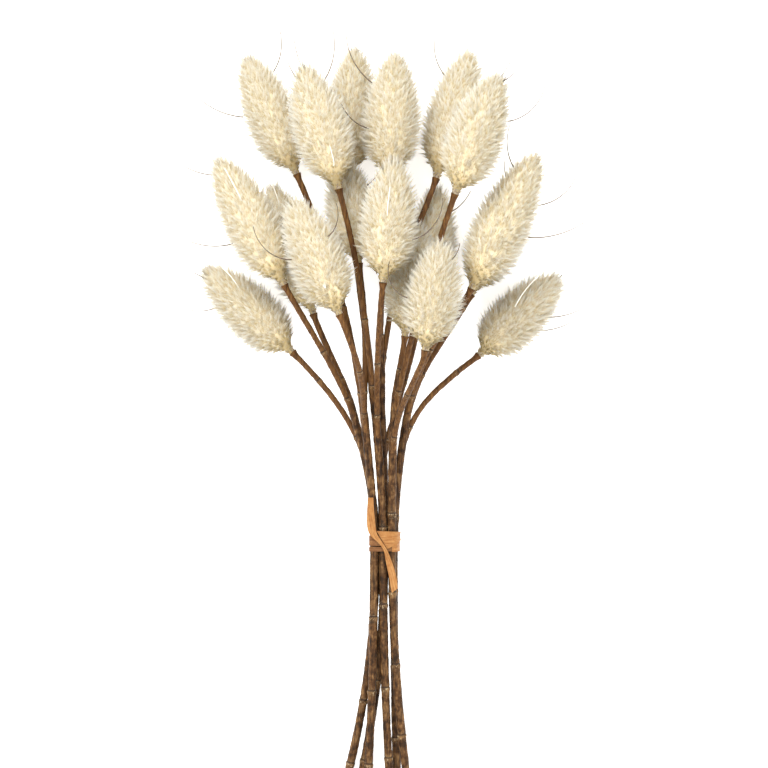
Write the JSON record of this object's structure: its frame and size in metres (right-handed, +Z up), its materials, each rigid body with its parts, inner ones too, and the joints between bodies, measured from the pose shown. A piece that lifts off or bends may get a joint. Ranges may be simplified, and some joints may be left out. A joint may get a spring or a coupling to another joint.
{
  "type": "hares tail grass bunch",
  "caption": "Lying bunch of hare's tail grass: branching cane-like stalks with soft oval cream seed heads, tied round the middle with a strip of raffia.",
  "frame": {"origin": "on the surface the bunch lies on, under the middle of its bounding box", "axes": "+Z up from the surface, +Y along the bunch from the cut stalk ends to the seed heads, +X to the right looking along +Y"},
  "size_m": [0.1712, 0.359, 0.0823],
  "materials": {
    "stalk": "mottled brown bark with cane-like nodes, slightly waxy",
    "seed_head": "soft dense cream bristles, golden towards the middle",
    "raffia": "dry tan raffia with fine lengthwise fibres"
  },
  "bodies": {
    "root": {"stalk_1": "stalk", "seed_head_1_low": "seed_head", "seed_head_1_middle": "seed_head", "seed_head_1_top": "seed_head", "stalk_2": "stalk", "seed_head_2_low": "seed_head", "seed_head_2_middle": "seed_head", "seed_head_2_top": "seed_head", "stalk_3": "stalk", "seed_head_3_low": "seed_head", "seed_head_3_middle": "seed_head", "seed_head_3_top": "seed_head", "stalk_4": "stalk", "seed_head_4_low": "seed_head", "seed_head_4_middle": "seed_head", "seed_head_4_top": "seed_head", "stalk_5": "stalk", "seed_head_5_low": "seed_head", "seed_head_5_middle": "seed_head", "seed_head_5_top": "seed_head", "stalk_6": "stalk", "seed_head_6_low": "seed_head", "seed_head_6_middle": "seed_head", "seed_head_6_top": "seed_head", "raffia_tie": "raffia"}
  },
  "joints": []
}
